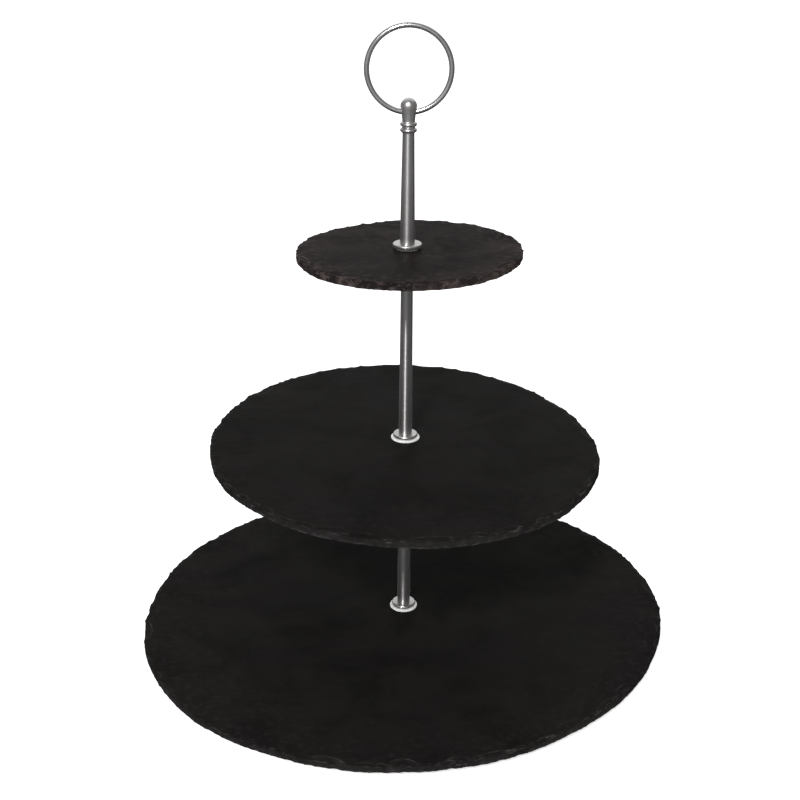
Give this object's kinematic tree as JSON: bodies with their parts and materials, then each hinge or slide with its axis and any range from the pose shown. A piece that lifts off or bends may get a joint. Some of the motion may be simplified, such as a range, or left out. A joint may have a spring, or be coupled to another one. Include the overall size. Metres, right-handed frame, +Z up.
{
  "type": "tiered cake stand",
  "caption": "Round slate discs on a screw-together steel post with a turned knob and a swinging carry ring, for serving cakes.",
  "frame": {"origin": "on the post's axis at the table, under the middle of the four pads", "axes": "+Z up along the post, -Y the front, the carry ring stands in the XZ plane"},
  "size_m": [0.3347, 0.322, 0.3789],
  "materials": {
    "slate": "riven natural slate, oiled to a low sheen",
    "rod_steel": "satin stainless steel, brushed around the tube",
    "turned_steel": "turned and polished stainless steel",
    "ring_steel": "polished stainless steel wire",
    "zinc_steel": "bright zinc-plated steel",
    "clear_plastic": "milky translucent plastic",
    "black_rubber": "matt black rubber"
  },
  "bodies": {
    "base": {"bottom_slate": "slate", "base_screw": "zinc_steel", "base_steel_washer": "zinc_steel", "base_plastic_washer": "clear_plastic", "rubber_pad_1": "black_rubber", "rubber_pad_2": "black_rubber", "rubber_pad_3": "black_rubber", "rubber_pad_4": "black_rubber"},
    "lower_washer": {"bottom_top_washer": "clear_plastic"},
    "lower_rod": {"lower_rod_tube": "rod_steel", "lower_rod_foot": "turned_steel", "lower_rod_plug": "turned_steel", "lower_rod_stud": "zinc_steel", "middle_bottom_washer": "clear_plastic"},
    "middle_tier": {"middle_slate": "slate"},
    "upper_washer": {"middle_top_washer": "clear_plastic"},
    "upper_rod": {"upper_rod_tube": "rod_steel", "upper_rod_foot": "turned_steel", "upper_rod_plug": "turned_steel", "upper_rod_stud": "zinc_steel", "top_bottom_washer": "clear_plastic"},
    "top_tier": {"top_slate": "slate"},
    "handle_washer": {"top_top_washer": "clear_plastic"},
    "handle": {"handle_tube": "rod_steel", "handle_foot": "turned_steel", "finial": "turned_steel"},
    "ring": {"carry_ring": "ring_steel"}
  },
  "joints": [
    {"name": "lower_rod_unscrew", "type": "hinge", "parent": "base", "child": "lower_washer", "pos_m": [0, 0, 0.011], "axis": [0, 0, 1], "range_deg": [0, 2885]},
    {"name": "lower_rod_rise", "type": "slide", "parent": "lower_washer", "child": "lower_rod", "axis": [0, 0, 1], "range_m": [0, 0.0056]},
    {"name": "middle_tier_turn", "type": "hinge", "parent": "lower_rod", "child": "middle_tier", "pos_m": [0, 0, 0.126], "axis": [0, 0, 1], "continuous": true},
    {"name": "upper_rod_unscrew", "type": "hinge", "parent": "lower_rod", "child": "upper_washer", "pos_m": [0, 0, 0.132], "axis": [0, 0, 1], "range_deg": [0, 2885]},
    {"name": "upper_rod_rise", "type": "slide", "parent": "upper_washer", "child": "upper_rod", "axis": [0, 0, 1], "range_m": [0, 0.0056]},
    {"name": "top_tier_turn", "type": "hinge", "parent": "upper_rod", "child": "top_tier", "pos_m": [0, 0, 0.247], "axis": [0, 0, 1], "continuous": true},
    {"name": "handle_unscrew", "type": "hinge", "parent": "upper_rod", "child": "handle_washer", "pos_m": [0, 0, 0.253], "axis": [0, 0, 1], "range_deg": [0, 2885]},
    {"name": "handle_rise", "type": "slide", "parent": "handle_washer", "child": "handle", "axis": [0, 0, 1], "range_m": [0, 0.0056]},
    {"name": "ring_swing", "type": "hinge", "parent": "handle", "child": "ring", "pos_m": [0, 0, 0.3306], "axis": [1, 0, 0], "range_deg": [-170, 170]}
  ],
  "couplings": [
    {"joint": "lower_rod_unscrew", "follows": "lower_rod_rise", "rad_per_m": 8976},
    {"joint": "upper_rod_unscrew", "follows": "upper_rod_rise", "rad_per_m": 8976},
    {"joint": "handle_unscrew", "follows": "handle_rise", "rad_per_m": 8976}
  ]
}
